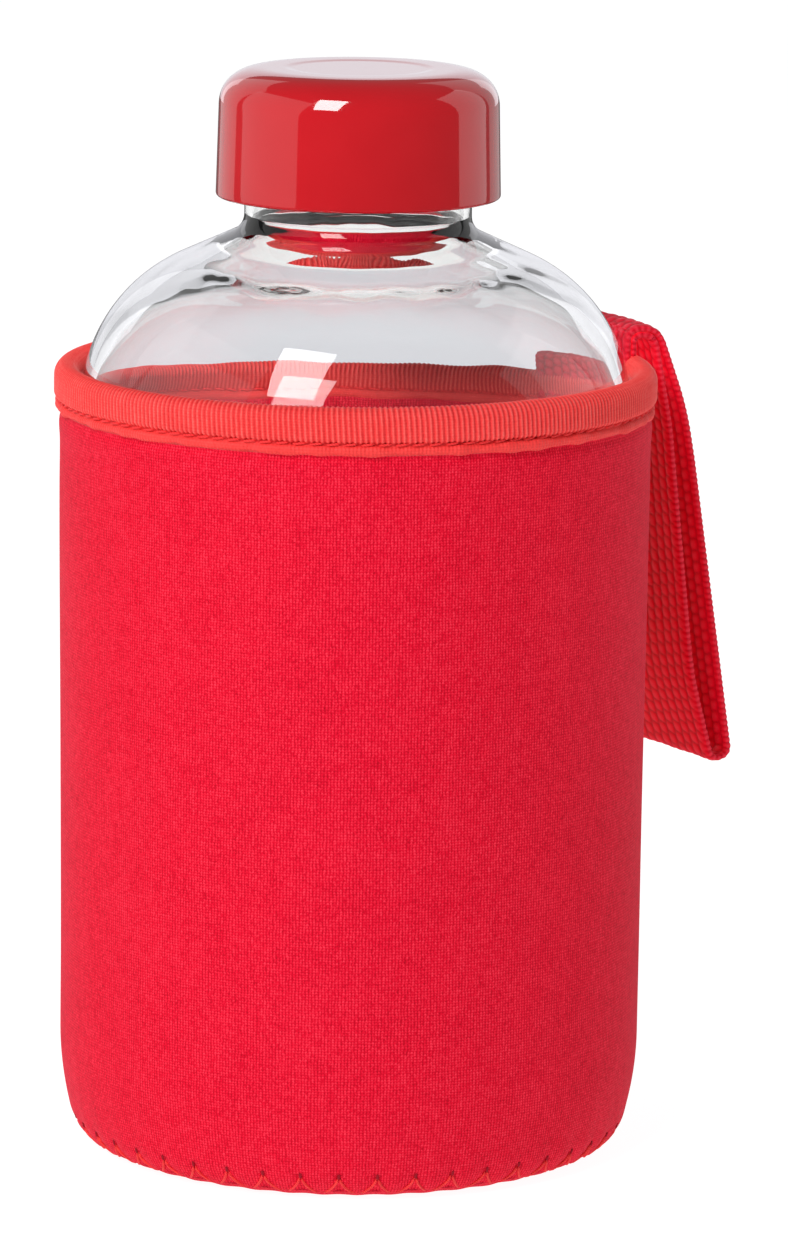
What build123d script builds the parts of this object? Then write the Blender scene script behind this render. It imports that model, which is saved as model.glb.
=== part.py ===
from build123d import *
import math
import os

# A clear glass water bottle in a neoprene sleeve, with a screw cap and a webbing hang loop.
# Millimetres, +Z up. The origin is the centre of the underside, on the bottle's axis.
# The hang loop is at +Y, on the same side as the sleeve's closing seam.

# ---- driving dimensions ----
SLEEVE_R = 45.2           # outer radius low on the sleeve
SLEEVE_TOP_R = 45.6       # outer radius just under the rim binding
SLEEVE_BORE_R = 42.8
SLEEVE_T = 2.4            # neoprene laminate at the base corner
BASE_T = 2.7              # base disc
BASE_CORNER_R = 7.5       # outer corner where the base disc meets the side
BASE_LEAN = 14.5          # degrees that the side leans in at the top of that corner
BASE_LEAN_R = 49.5        # long arc between the corner and the straight side
SEAM_ANGLE = 62.0         # degrees round the corner, from level, of the base seam

RIM_TOP = 122.5           # top of the rim binding
BINDING_H = 7.2
BINDING_R = 46.4
BINDING_T = 0.8           # folded tape
GROOVE_DEPTH = 0.65       # stitched groove of the binding
BEAD_H = 1.5              # tape edge below the groove

GLASS_R = 42.5
GLASS_WALL = 2.2
GLASS_FLOOR = 5.4         # glass thickness under the drink
SHOULDER_Z = 115.8        # where the shoulder arc starts
SHOULDER_R = 25.5
SHOULDER_TURN = 65.5      # degrees of the shoulder arc, then a straight cone
NECK_R = 17.5             # root radius of a 38 mm neck finish
NECK_FILLET = 3.0
MOUTH_Z = 163.6           # sealing land
THREAD_PITCH = 4.233      # six turns to the inch
THREAD_TURNS = 1.5
THREAD_Z = 152.0          # start of the thread on the neck
BEAD_R = 1.2              # round thread on the glass
RIDGE_R = 0.95            # round thread in the liner

CAP_R = 21.9
CAP_BOTTOM = 148.4
CAP_TOP = 168.2
CAP_CORNER = 5.5
CAP_WALL = 1.9
CAP_RECESS_R = 10.9       # shallow round recess on the cap's top
CAP_RECESS_DEPTH = 0.4
LINER_BORE_R = 18.95
LINER_INSET = 1.0         # liner starts this far inside the skirt
GASKET_R = 18.3
GASKET_T = 1.4
LINER_TOP_T = 1.2

STRAP_W = 25.0
STRAP_T = 1.0
PIVOT_Y = 45.4            # the loop bends over the rim about this line
PIVOT_Z = 126.8
TAIL_Z = 104.0            # lower end of the sewn tail
TAIL_TOP = 125.6          # it ends just short of the bend
TAIL_R = 44.0             # middle of the doubled webbing inside the rim
TAIL_RECESS_R = 45.0      # the neoprene is squeezed thin behind the tail

THREAD_R = 0.28           # sewing thread
THREAD_LIFT = 0.16        # its middle lies this far outside the cloth
RIM_STITCHES = 112
BASE_ZIGZAGS = 46
SEAM_ZIGZAGS = 28
SEAM_HALF_W = 1.7

# ---- worked out from them ----
BINDING_BOTTOM = RIM_TOP - BINDING_H
GROOVE_Z = BINDING_BOTTOM + BEAD_H + 0.25
BASE_FLAT_R = SLEEVE_R - BASE_LEAN_R + (BASE_LEAN_R - BASE_CORNER_R) * math.cos(math.radians(BASE_LEAN))
SIDE_Z = BASE_CORNER_R + (BASE_LEAN_R - BASE_CORNER_R) * math.sin(math.radians(BASE_LEAN))
GLASS_INSET = SLEEVE_R - GLASS_R
CORE_INNER_R = SLEEVE_BORE_R + BINDING_T
CORE_OUTER_R = SLEEVE_TOP_R - 0.1
CORE_TOP = RIM_TOP - 1.0

os.makedirs("parts", exist_ok=True)


def polar(centre, radius, angle):
    """A point round a centre in the radius-height plane, angle in degrees from level."""
    a = math.radians(angle)
    return (centre[0] + radius * math.cos(a), centre[1] + radius * math.sin(a))


def lathe(edges, start=0.0, sweep=360.0):
    """Turns a closed outline, drawn as (radius, height), about the bottle's axis."""
    face = make_face([edge for part in edges for edge in (Plane.XZ * part).edges()])
    return Rot(0, 0, start) * revolve(face, axis=Axis.Z, revolution_arc=sweep)


def closed(*points):
    return [Polyline(*points, close=True)]


def corner_arcs(inset, low_angle=90.0):
    """The two arcs of the base corner, moved in by inset, from low_angle up to the straight side."""
    low_centre = (BASE_FLAT_R, BASE_CORNER_R)
    long_centre = (SLEEVE_R - BASE_LEAN_R, SIDE_Z)
    low = CenterArc(low_centre, BASE_CORNER_R - inset, -low_angle, low_angle - BASE_LEAN)
    long = CenterArc(long_centre, BASE_LEAN_R - inset, -BASE_LEAN, BASE_LEAN)
    return [low, long]


def outside_radius(z):
    """Outer radius of the sleeve's straight side at a height."""
    share = max(0.0, (z - SIDE_Z) / (BINDING_BOTTOM - SIDE_Z))
    return SLEEVE_R + (SLEEVE_TOP_R - SLEEVE_R) * share


def bar(start, end, radius):
    """A straight length of thread between two points."""
    a, b = Vector(*start), Vector(*end)
    return Solid.make_cylinder(radius, (b - a).length, Plane(origin=a, z_dir=b - a))


def save(shape, node):
    export_step(shape, f"parts/{node}.step")


# ---- glass ----
def glass_side(inset, bottom_z, top_z):
    """The edges from the straight side at bottom_z to the neck at top_z, moved in by inset."""
    side = Line((GLASS_R - inset, bottom_z), (GLASS_R - inset, SHOULDER_Z))
    shoulder = CenterArc((GLASS_R - SHOULDER_R, SHOULDER_Z), SHOULDER_R - inset, 0, SHOULDER_TURN)
    turn = math.radians(SHOULDER_TURN)
    neck_r = NECK_R - inset
    fillet_r = NECK_FILLET + inset
    # The cone meets the neck at a corner, which the fillet rounds off.
    start = shoulder @ 1
    corner_z = start.Y + (start.X - neck_r) / math.tan(turn)
    reach = fillet_r * math.tan(turn / 2)
    fillet_start = (neck_r + reach * math.sin(turn), corner_z - reach * math.cos(turn))
    cone = Line((start.X, start.Y), fillet_start)
    fillet = JernArc(fillet_start, (-math.sin(turn), math.cos(turn)), fillet_r, -SHOULDER_TURN)
    neck = Line(fillet @ 1, (neck_r, top_z))
    return [side, shoulder, cone, fillet, neck]


def glass_bottle():
    wall = GLASS_WALL
    bore_r = NECK_R - wall
    floor_z = BASE_T + GLASS_FLOOR
    inner_corner = 6.0
    inner_r = GLASS_R - wall
    lip = 0.9
    ring_r = 31.0
    outer = [Line((ring_r, BASE_T), (BASE_FLAT_R, BASE_T))]
    outer += corner_arcs(GLASS_INSET)
    outer += glass_side(0, SIDE_Z, MOUTH_Z - lip)
    outer += [JernArc((NECK_R, MOUTH_Z - lip), (0, 1), lip, 90)]
    outer += [Line((NECK_R - lip, MOUTH_Z), (bore_r + lip, MOUTH_Z))]
    outer += [JernArc((bore_r + lip, MOUTH_Z), (-1, 0), lip, 90)]
    inner = glass_side(wall, floor_z + inner_corner, MOUTH_Z - lip)
    inner += [CenterArc((inner_r - inner_corner, floor_z + inner_corner), inner_corner, -90, 90)]
    inner += [Line((0, floor_z), (inner_r - inner_corner, floor_z))]
    punt = 1.6
    base = [Line((0, BASE_T + punt), (0, floor_z))]
    base += [ThreePointArc((0, BASE_T + punt), (ring_r * 0.5, BASE_T + punt * 0.75), (ring_r, BASE_T))]
    body = lathe(outer + inner + base)
    return body + screw_thread(NECK_R - 0.05, BEAD_R, THREAD_Z)


def screw_thread(radius, round_r, z):
    """A right-hand round thread with ball ends."""
    height = THREAD_PITCH * THREAD_TURNS
    path = Helix(pitch=THREAD_PITCH, height=height, radius=radius, center=(0, 0, z))
    section = Plane(origin=path @ 0, z_dir=path % 0) * Circle(round_r)
    coil = sweep(section, path=path, is_frenet=True)
    for end in (path @ 0, path @ 1):
        coil += Pos(*end) * Sphere(round_r)
    return coil


# ---- cap ----
def cap_shell():
    inside_r = CAP_R - CAP_WALL
    under_top = MOUTH_Z + GASKET_T + LINER_TOP_T
    foot = 0.5
    outline = [Line((inside_r, CAP_BOTTOM), (CAP_R - foot, CAP_BOTTOM))]
    outline += [JernArc((CAP_R - foot, CAP_BOTTOM), (1, 0), foot, 90)]
    outline += [Line((CAP_R, CAP_BOTTOM + foot), (CAP_R, CAP_TOP - CAP_CORNER))]
    outline += [JernArc((CAP_R, CAP_TOP - CAP_CORNER), (0, 1), CAP_CORNER, 90)]
    outline += [Polyline(
        (CAP_R - CAP_CORNER, CAP_TOP),
        (CAP_RECESS_R, CAP_TOP),
        (CAP_RECESS_R - CAP_RECESS_DEPTH, CAP_TOP - CAP_RECESS_DEPTH),
        (0, CAP_TOP - CAP_RECESS_DEPTH),
        (0, under_top),
        (inside_r, under_top),
        (inside_r, CAP_BOTTOM),
    )]
    return lathe(outline)


def cap_liner():
    outer_r = CAP_R - CAP_WALL
    top = MOUTH_Z + GASKET_T + LINER_TOP_T
    low = CAP_BOTTOM + LINER_INSET
    shell = lathe(closed(
        (LINER_BORE_R, low),
        (outer_r, low),
        (outer_r, top),
        (0, top),
        (0, top - LINER_TOP_T),
        (LINER_BORE_R, top - LINER_TOP_T),
    ))
    return shell + screw_thread(LINER_BORE_R, RIDGE_R, THREAD_Z - THREAD_PITCH / 2)


def cap_gasket():
    return Pos(0, 0, MOUTH_Z + GASKET_T / 2) * Cylinder(GASKET_R, GASKET_T)


# ---- sleeve ----
def strap_recess():
    """The stretch of the sleeve's inside that the sewn tail sits in."""
    half = math.degrees((STRAP_W / 2 + 0.4) / TAIL_R)
    z0 = TAIL_Z - 0.3
    outline = closed(
        (SLEEVE_BORE_R - 2, z0),
        (TAIL_RECESS_R, z0),
        (TAIL_RECESS_R, RIM_TOP + 2),
        (SLEEVE_BORE_R - 2, RIM_TOP + 2),
    )
    return lathe(outline, start=90 - half, sweep=2 * half)


def sleeve_side():
    seam = -SEAM_ANGLE
    low = (BASE_FLAT_R, BASE_CORNER_R)
    outline = corner_arcs(0, low_angle=SEAM_ANGLE)
    outline += [Polyline(
        (SLEEVE_R, SIDE_Z),
        (SLEEVE_TOP_R, BINDING_BOTTOM),
        (CORE_OUTER_R, BINDING_BOTTOM),
        (CORE_OUTER_R, CORE_TOP),
        (CORE_INNER_R, CORE_TOP),
        (CORE_INNER_R, BINDING_BOTTOM),
        (SLEEVE_BORE_R, BINDING_BOTTOM),
        (SLEEVE_BORE_R, SIDE_Z),
    )]
    outline += corner_arcs(SLEEVE_T, low_angle=SEAM_ANGLE)
    outline += [Line(polar(low, BASE_CORNER_R, seam), polar(low, BASE_CORNER_R - SLEEVE_T, seam))]
    return lathe(outline) - strap_recess()


def sleeve_base():
    seam = -SEAM_ANGLE
    low = (BASE_FLAT_R, BASE_CORNER_R)
    turn = 90 - SEAM_ANGLE
    outline = [Line((0, 0), (BASE_FLAT_R, 0))]
    outline += [CenterArc(low, BASE_CORNER_R, -90, turn)]
    outline += [Line(polar(low, BASE_CORNER_R, seam), polar(low, BASE_CORNER_R - SLEEVE_T, seam))]
    outline += [CenterArc(low, BASE_CORNER_R - SLEEVE_T, -90, turn)]
    outline += [Polyline(
        (BASE_FLAT_R, SLEEVE_T),
        (BASE_FLAT_R, BASE_T),
        (0, BASE_T),
        (0, 0),
    )]
    return lathe(outline)


def binding_face(face_r, core_r, side):
    """One leg of the folded tape, from its lower edge up to where the top rounds over.
    side is +1 for the outside and -1 for the inside."""
    groove_r = face_r - side * GROOVE_DEPTH
    bead_r = face_r - side * 0.25
    bead_mid = BINDING_BOTTOM + BEAD_H / 2
    edge_r = core_r + side * 0.05
    return [
        ThreePointArc((edge_r, BINDING_BOTTOM), (bead_r, bead_mid), (groove_r, BINDING_BOTTOM + BEAD_H)),
        Line((groove_r, BINDING_BOTTOM + BEAD_H), (groove_r, GROOVE_Z + 0.25)),
        ThreePointArc(
            (groove_r, GROOVE_Z + 0.25),
            (face_r - side * 0.18, GROOVE_Z + 0.75),
            (face_r, GROOVE_Z + 1.7),
        ),
    ]


def rim_binding():
    inner_groove = 0.3
    round_z = RIM_TOP - 1.8
    outline = binding_face(BINDING_R, CORE_OUTER_R, 1)
    outline += [Line((BINDING_R, GROOVE_Z + 1.7), (BINDING_R, round_z))]
    outline += [ThreePointArc(
        (BINDING_R, round_z),
        ((BINDING_R + SLEEVE_BORE_R) / 2, RIM_TOP),
        (SLEEVE_BORE_R, round_z),
    )]
    outline += [Polyline(
        (SLEEVE_BORE_R, round_z),
        (SLEEVE_BORE_R, GROOVE_Z + 0.8),
        (SLEEVE_BORE_R + inner_groove, GROOVE_Z + 0.3),
        (SLEEVE_BORE_R + inner_groove, GROOVE_Z - 0.3),
        (SLEEVE_BORE_R, GROOVE_Z - 0.8),
        (SLEEVE_BORE_R, BINDING_BOTTOM),
        (CORE_INNER_R, BINDING_BOTTOM),
        (CORE_INNER_R, CORE_TOP),
        (CORE_OUTER_R, CORE_TOP),
        (CORE_OUTER_R, BINDING_BOTTOM),
        (CORE_OUTER_R + 0.05, BINDING_BOTTOM),
    )]
    return lathe(outline) - strap_recess()


# ---- stitches ----
def rim_stitching():
    """One row of lockstitch: a thread on the outside and one on the inside of the binding."""
    step = 360 / RIM_STITCHES
    length = step * 0.72
    rows = (BINDING_R - GROOVE_DEPTH + 0.08, SLEEVE_BORE_R + 0.3)
    clear = math.degrees((STRAP_W / 2 + 1.0) / TAIL_R)
    stitches = []
    for row, radius in enumerate(rows):
        section = Plane.XZ * Pos(radius, GROOVE_Z) * Circle(THREAD_R)
        stitch = revolve(section, axis=Axis.Z, revolution_arc=length)
        for i in range(RIM_STITCHES):
            angle = i * step
            behind_tail = row == 1 and abs(angle + length / 2 - 90) < clear
            if not behind_tail:
                stitches.append(Rot(0, 0, angle) * stitch)
    return Compound(children=stitches)


def base_stitching():
    """Zigzag thread over the seam between the side panel and the base disc."""
    low = (BASE_FLAT_R, BASE_CORNER_R)
    top_r, top_z = polar(low, BASE_CORNER_R + THREAD_LIFT, -35)
    low_r, low_z = polar(low, BASE_CORNER_R + THREAD_LIFT, -66)
    step = 360 / BASE_ZIGZAGS
    wide = math.radians(step * 0.46)
    narrow = math.radians(step * 0.055)
    legs = []
    for side in (-1, 1):
        peak = (top_r * math.cos(narrow), side * top_r * math.sin(narrow), top_z)
        foot = (low_r * math.cos(wide), side * low_r * math.sin(wide), low_z)
        legs.append(bar(peak, foot, THREAD_R))
    return Compound(children=[Rot(0, 0, i * step) * leg for i in range(BASE_ZIGZAGS) for leg in legs])


def side_seam_stitching():
    """Zigzag thread up the closing seam at the back of the side panel."""
    z0, z1 = SIDE_Z + 2.0, BINDING_BOTTOM - 3.0
    pitch = (z1 - z0) / SEAM_ZIGZAGS
    legs = []
    for i in range(SEAM_ZIGZAGS):
        side = 1 if i % 2 else -1
        ends = []
        for share, x in ((0.08, -side * SEAM_HALF_W), (0.92, side * SEAM_HALF_W)):
            z = z0 + (i + share) * pitch
            ends.append((x, math.sqrt((outside_radius(z) + THREAD_LIFT) ** 2 - x * x), z))
        legs.append(bar(ends[0], ends[1], THREAD_R))
    return Compound(children=legs)


def strap_stitching():
    """Two rows of thread on the inside face of the tail."""
    radius = TAIL_R - STRAP_T
    rows = (TAIL_Z + 2.5, TAIL_Z + 7.5)
    count = 9
    step = math.degrees((STRAP_W - 2.0) / TAIL_R) / count
    section_r = 0.2
    stitches = []
    for z in rows:
        section = Plane.XZ * Pos(radius, z) * Circle(section_r)
        stitch = revolve(section, axis=Axis.Z, revolution_arc=step * 0.7)
        for i in range(count):
            angle = 90 + (i - count / 2 + 0.15) * step
            stitches.append(Rot(0, 0, angle) * stitch)
    return Compound(children=stitches)


# ---- webbing ----
# The loop's middle line in the Y-Z plane, with the radius of each bend: down the outer layer
# from the bend over the rim, round the fold at the bottom, and back up the inner layer.
LOOP_BENDS = [
    ((48.3, 125.9), 3.0),
    ((52.6, 113.6), 60.0),
    ((61.9, 57.6), 1.55),
    ((58.7, 56.8), 1.55),
    ((54.4, 71.5), 60.0),
    ((50.3, 111.0), 50.0),
]


def strap_loop():
    apart = 0.02
    start = (PIVOT_Y, PIVOT_Z + STRAP_T / 2 + apart)
    end = (PIVOT_Y, PIVOT_Z - STRAP_T / 2 - apart)
    corners = [place for place, radius in LOOP_BENDS]
    radii = [radius for place, radius in LOOP_BENDS]
    path = Plane.YZ * FilletPolyline(start, *corners, end, radius=radii)
    section = Plane(origin=path @ 0, x_dir=(1, 0, 0), z_dir=path % 0) * Rectangle(STRAP_W, STRAP_T)
    bend = Pos(0, PIVOT_Y, PIVOT_Z) * Rot(0, 90, 0) * Cylinder(STRAP_T * 1.15, STRAP_W)
    return sweep(section, path=path) + bend


def strap_tail():
    """The doubled webbing inside the rim, up to just short of the bend."""
    half = math.degrees(STRAP_W / 2 / TAIL_R)
    inner_r, outer_r = TAIL_R - STRAP_T, TAIL_R + STRAP_T
    outline = closed(
        (inner_r, TAIL_Z),
        (outer_r, TAIL_Z),
        (outer_r, TAIL_TOP - 1.4),
        (TAIL_R + 0.4, TAIL_TOP),
        (inner_r, TAIL_TOP),
    )
    return lathe(outline, start=90 - half, sweep=2 * half)


NODES = {
    "glass_bottle": glass_bottle,
    "cap_shell": cap_shell,
    "cap_liner": cap_liner,
    "cap_gasket": cap_gasket,
    "sleeve_side": sleeve_side,
    "sleeve_base": sleeve_base,
    "rim_binding": rim_binding,
    "rim_stitching": rim_stitching,
    "base_stitching": base_stitching,
    "side_seam_stitching": side_seam_stitching,
    "strap_loop": strap_loop,
    "strap_tail": strap_tail,
    "strap_stitching": strap_stitching,
}

for node, make in NODES.items():
    save(make(), node)
    print(node, "written")
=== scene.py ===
import math

import bmesh
import bpy
import numpy as np
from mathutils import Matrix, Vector


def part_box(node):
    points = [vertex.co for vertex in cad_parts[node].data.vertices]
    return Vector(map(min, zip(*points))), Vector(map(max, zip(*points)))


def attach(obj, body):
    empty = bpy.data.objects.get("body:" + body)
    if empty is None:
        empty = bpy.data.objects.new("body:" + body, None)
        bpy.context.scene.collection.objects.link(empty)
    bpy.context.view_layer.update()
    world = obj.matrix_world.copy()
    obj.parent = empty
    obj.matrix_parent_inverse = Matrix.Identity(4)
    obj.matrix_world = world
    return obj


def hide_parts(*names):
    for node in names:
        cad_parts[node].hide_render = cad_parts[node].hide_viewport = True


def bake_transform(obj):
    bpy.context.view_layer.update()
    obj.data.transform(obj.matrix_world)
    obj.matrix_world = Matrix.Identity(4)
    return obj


# A glass water bottle in a red neoprene sleeve. Lengths are millimetres until a mesh is made.
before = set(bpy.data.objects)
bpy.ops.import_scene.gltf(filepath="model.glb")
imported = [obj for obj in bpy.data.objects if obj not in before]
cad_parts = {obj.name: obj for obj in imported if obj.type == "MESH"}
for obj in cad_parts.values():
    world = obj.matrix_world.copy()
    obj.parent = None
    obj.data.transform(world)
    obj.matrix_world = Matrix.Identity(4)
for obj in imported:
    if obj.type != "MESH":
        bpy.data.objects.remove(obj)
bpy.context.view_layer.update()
MM = 0.001

# ---- places read from the frame ----
binding_low, binding_high = (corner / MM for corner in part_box("rim_binding"))
side_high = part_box("sleeve_side")[1] / MM
cap_low, cap_high = (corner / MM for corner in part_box("cap_shell"))
glass_low, glass_high = (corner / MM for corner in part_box("glass_bottle"))
tail_low, tail_high = (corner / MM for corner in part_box("strap_tail"))

RIM_TOP = binding_high.z
RIM_R = binding_high.x
BINDING_BOTTOM = binding_low.z
SLEEVE_TOP_R = side_high.x
CAP_R = cap_high.x
GLASS_R = glass_high.x
BASE_T = glass_low.z

# ---- the sleeve's section, as in the frame ----
SLEEVE_R = SLEEVE_TOP_R - 0.4
BORE_R = GLASS_R + 0.3
SLEEVE_T = 2.4
CORNER_R = 7.5
LEAN = 14.5
LEAN_R = 49.5
SEAM_ANGLE = 53.0
FLAT_R = SLEEVE_R - LEAN_R + (LEAN_R - CORNER_R) * math.cos(math.radians(LEAN))
SIDE_Z = CORNER_R + (LEAN_R - CORNER_R) * math.sin(math.radians(LEAN))

# ---- the bottle and cap, as in the frame ----
GLASS_WALL = 2.2
SHOULDER_Z, SHOULDER_R, SHOULDER_TURN = 115.8, 25.5, 65.5
NECK_R, NECK_FILLET = 17.5, 3.0
MOUTH_Z = glass_high.z
THREAD_PITCH, THREAD_TURNS, THREAD_Z, BEAD_R = 4.233, 1.5, 152.0, 1.2
SHOULDER_EXTRA = 1.9      # how much thicker the glass gets at the shoulder
NECK_THINNER = 0.95       # how much thinner the neck's wall is
RECESS_R = 10.9

# ---- sewing and weaving ----
ZIGZAGS = 46
ZIGZAG_TOP = 27.0         # degrees round the base corner, from level
ZIGZAG_LOW = 54.0
ZIGZAG_THREAD_R = 0.20
NEEDLE_HOLE_R = 0.21
SEAM_ZIGZAGS = 28
RIM_STITCHES = 112
BINDING_RIBS = 356
BEAD_RIBS = 500
BEAD_H = 1.5
GROOVE_Z = BINDING_BOTTOM + BEAD_H + 0.25
KNIT_WALE = 0.50
KNIT_COURSE = 0.42
RIB_SLANT = 0.5           # radians of rib spacing per millimetre of height
STRAP_W = 25.0
FLOAT_WIDTH, FLOAT_LENGTH = 2.3, 1.9

# ---- colours, from the painted shade in the gaps between the yarns to the painted highlights on their brightest fibres ----
# In each row the first colour is painted shade between the yarns and the last is a painted highlight.
KNIT_GAP_SHADE, KNIT_YARN, KNIT_PAINTED_HIGHLIGHT = (0.36, 0.0, 0.008), (0.80, 0.001, 0.026), (1.0, 0.04, 0.08)
WEB_GAP_SHADE, WEB_YARN, WEB_PAINTED_HIGHLIGHT = (0.54, 0.0, 0.012), (0.88, 0.002, 0.026), (1.0, 0.040, 0.080)
TAPE_GAP_SHADE, TAPE_YARN, TAPE_PAINTED_HIGHLIGHT = (0.66, 0.010, 0.014), (0.98, 0.055, 0.052), (1.0, 0.20, 0.17)

VIEW_AZIMUTH = 60.0       # degrees; the loop hangs at the back right


def polar(centre, radius, angle):
    """Points round a centre in the radius-height plane; the angle is in degrees from level."""
    a = np.radians(angle)
    return np.stack([centre[0] + radius * np.cos(a), centre[1] + radius * np.sin(a)], axis=-1)


def around(radius, turn, height):
    """Points by their distance from the axis, their angle about it in radians, and their height."""
    return np.stack([radius * np.cos(turn), radius * np.sin(turn), height + 0 * turn], axis=-1)


# ---- mesh helpers ----
def mesh_object(name, points, faces, material):
    """A mesh from points in millimetres."""
    mesh = bpy.data.meshes.new(name)
    mesh.from_pydata((np.asarray(points) * MM).tolist(), [], faces)
    mesh.validate()
    mesh.update()
    mesh.polygons.foreach_set("use_smooth", [True] * len(mesh.polygons))
    mesh.materials.append(material)
    made = bpy.data.objects.new(name, mesh)
    bpy.context.scene.collection.objects.link(made)
    return made


def grid_faces(rows, columns, wrap_rows, wrap_columns):
    """Quads between the points of a grid, which may close on itself either way."""
    faces = []
    for i in range(rows if wrap_rows else rows - 1):
        a, b = i * columns, ((i + 1) % rows) * columns
        for j in range(columns if wrap_columns else columns - 1):
            k = (j + 1) % columns
            faces.append((a + j, b + j, b + k, a + k))
    return faces


def outline_normals(outline):
    """Unit normals of a closed outline, pointing to the right of the way it runs."""
    along = np.roll(outline, -1, axis=0) - np.roll(outline, 1, axis=0)
    along /= np.maximum(np.linalg.norm(along, axis=1, keepdims=True), 1e-9)
    return np.stack([along[:, 1], -along[:, 0]], axis=1)


def turned(name, outline, steps, material, push=None):
    """Turns an outline of (radius, height), running up its outer side, about the axis.
    push(angle, outline row) gives how far each point stands out along the outline's normal."""
    outline = np.asarray(outline, float)
    angle = np.arange(steps) * 2 * math.pi / steps
    rows = np.arange(len(outline))
    turn, row = np.meshgrid(angle, rows, indexing="ij")
    radius = outline[row, 0]
    height = outline[row, 1]
    if push is not None:
        normal = outline_normals(outline)
        out = push(turn, row)
        radius = radius + normal[row, 0] * out
        height = height + normal[row, 1] * out
    points = around(radius, turn, height).reshape(-1, 3)
    faces = grid_faces(steps, len(outline), True, True)
    return mesh_object(name, points, faces, material)


def spaced(start, end, step):
    """Points along a straight line from start up to, but without, end."""
    start, end = np.asarray(start, float), np.asarray(end, float)
    count = max(1, int(round(np.linalg.norm(end - start) / step)))
    return start + (end - start) * (np.arange(count) / count)[:, None]


def arc(centre, radius, a0, a1, step):
    """Points along an arc from a0 up to, but without, a1."""
    count = max(2, int(round(abs(math.radians(a1 - a0)) * radius / step)))
    return polar(centre, radius, a0 + (a1 - a0) * np.arange(count) / count)


def corner_outline(inset, low_angle, step):
    """The base corner from low_angle below level up to the straight side, moved in by inset."""
    low = arc((FLAT_R, CORNER_R), CORNER_R - inset, -low_angle, -LEAN, step)
    long = arc((SLEEVE_R - LEAN_R, SIDE_Z), LEAN_R - inset, -LEAN, 0, step)
    return np.concatenate([low, long])


def tube_points(path, radius, sides=8, squash=1.0):
    """Rings of points round a path, with rounded ends; the section is squash times as thick."""
    path = np.asarray(path, float)
    along = np.gradient(path, axis=0)
    along /= np.linalg.norm(along, axis=1, keepdims=True)
    away = path * np.array([1.0, 1.0, 0.0])
    away /= np.linalg.norm(away, axis=1, keepdims=True)
    across = np.cross(along, away)
    across /= np.linalg.norm(across, axis=1, keepdims=True)
    up = np.cross(across, along)
    length = np.concatenate([[0], np.cumsum(np.linalg.norm(np.diff(path, axis=0), axis=1))])
    near_end = np.minimum(length, length[-1] - length) / radius
    swell = np.sqrt(np.clip(1 - (1 - np.clip(near_end, 0.03, 1)) ** 2, 0, 1))
    a = np.arange(sides) * 2 * math.pi / sides
    ring = np.cos(a)[:, None, None] * across + squash * np.sin(a)[:, None, None] * up
    return path[:, None, :] + (radius * swell)[:, None, None] * ring.transpose(1, 0, 2)


def threads(name, paths, radius, material, sides=8, squash=1.0):
    """Many short lengths of thread as one mesh, each closed at both ends."""
    points, faces, base = [], [], 0
    for path in paths:
        rings = tube_points(path, radius, sides, squash)
        count = len(rings)
        points.append(rings.reshape(-1, 3))
        for face in grid_faces(count, sides, False, True):
            faces.append(tuple(base + v for v in face))
        faces.append(tuple(base + v for v in range(sides)))
        faces.append(tuple(base + (count - 1) * sides + v for v in reversed(range(sides))))
        base += count * sides
    made = mesh_object(name, np.concatenate(points), faces, material)
    outward(made)
    return made


def outward(made):
    """Turns every face of a closed mesh outwards."""
    work = bmesh.new()
    work.from_mesh(made.data)
    bmesh.ops.recalc_face_normals(work, faces=work.faces)
    work.to_mesh(made.data)
    work.free()


# ---- material helpers ----
class Shader:
    """A material's node tree, with short calls for the nodes used here."""

    def __init__(self, name):
        self.material = bpy.data.materials.new(name)
        self.material.use_nodes = True
        self.tree = self.material.node_tree
        self.bsdf = self.tree.nodes["Principled BSDF"]

    def put(self, socket, value):
        if isinstance(value, bpy.types.NodeSocket):
            self.tree.links.new(value, socket)
        else:
            socket.default_value = value

    def math(self, operation, *values, clamp=False):
        node = self.tree.nodes.new("ShaderNodeMath")
        node.operation = operation
        node.use_clamp = clamp
        for socket, value in zip(node.inputs, values):
            self.put(socket, value)
        return node.outputs[0]

    def place(self):
        """Object coordinates in millimetres: the vector, x, y, z, and the angle about the axis."""
        coordinates = self.tree.nodes.new("ShaderNodeTexCoord")
        scale = self.tree.nodes.new("ShaderNodeVectorMath")
        scale.operation = "SCALE"
        scale.inputs["Scale"].default_value = 1 / MM
        self.tree.links.new(coordinates.outputs["Object"], scale.inputs[0])
        split = self.tree.nodes.new("ShaderNodeSeparateXYZ")
        self.tree.links.new(scale.outputs[0], split.inputs[0])
        x, y, z = split.outputs
        turn = self.math("ARCTAN2", y, x)
        return scale.outputs[0], x, y, z, turn

    def noise(self, vector, scale, detail):
        node = self.tree.nodes.new("ShaderNodeTexNoise")
        node.inputs["Scale"].default_value = scale
        node.inputs["Detail"].default_value = detail
        node.inputs["Roughness"].default_value = 0.55
        self.put(node.inputs["Vector"], vector)
        return node.outputs["Fac"]

    def ramp(self, value, *stops):
        node = self.tree.nodes.new("ShaderNodeValToRGB")
        elements = node.color_ramp.elements
        while len(elements) < len(stops):
            elements.new(0.5)
        for element, (place, colour) in zip(elements, stops):
            element.position = place
            element.color = (*colour, 1.0)
        self.put(node.inputs[0], value)
        return node.outputs[0]

    def bump(self, height, distance, strength, normal=None):
        node = self.tree.nodes.new("ShaderNodeBump")
        node.inputs["Strength"].default_value = strength
        node.inputs["Distance"].default_value = distance * MM
        self.put(node.inputs["Height"], height)
        if normal is not None:
            self.put(node.inputs["Normal"], normal)
        return node.outputs[0]

    def set(self, **values):
        for name, value in values.items():
            self.put(self.bsdf.inputs[name.replace("_", " ")], value)


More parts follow.
